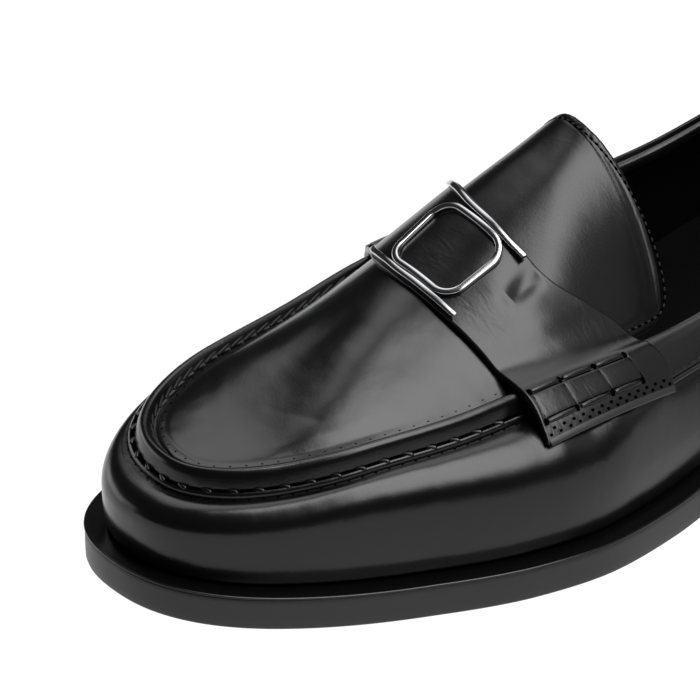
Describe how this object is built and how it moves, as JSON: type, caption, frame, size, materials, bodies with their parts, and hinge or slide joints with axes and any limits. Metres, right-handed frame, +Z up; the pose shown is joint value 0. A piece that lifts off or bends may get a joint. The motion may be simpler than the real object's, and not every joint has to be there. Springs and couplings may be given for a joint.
{
  "type": "loafer",
  "caption": "Left moc-toe loafer with a raised apron seam, a saddle strap with a metal ornament, a free-ended tongue and a low heel on a flat welted rubber sole.",
  "frame": {"origin": "on the floor, under the middle of the shoe's box", "axes": "+Z up, the toe points to -X and the heel to +X, the lateral side to -Y and the medial side to +Y"},
  "size_m": [0.264, 0.0996, 0.077],
  "materials": {
    "upper_leather": "glossy polished, with soft creases",
    "trim_leather": "glossy polished",
    "insole_leather": "matt",
    "sole_rubber": "matt",
    "welt_rubber": "glossy",
    "ornament_metal": "polished gunmetal"
  },
  "bodies": {
    "root": {"outsole": "sole_rubber", "welt": "welt_rubber", "heel_block": "sole_rubber", "top_lift": "sole_rubber", "insole": "insole_leather", "upper": "upper_leather", "tongue": "upper_leather", "saddle_strap": "trim_leather", "ornament_rail_front": "ornament_metal", "ornament_rail_rear": "ornament_metal", "ornament_link": "ornament_metal", "collar_band": "trim_leather"}
  },
  "joints": []
}
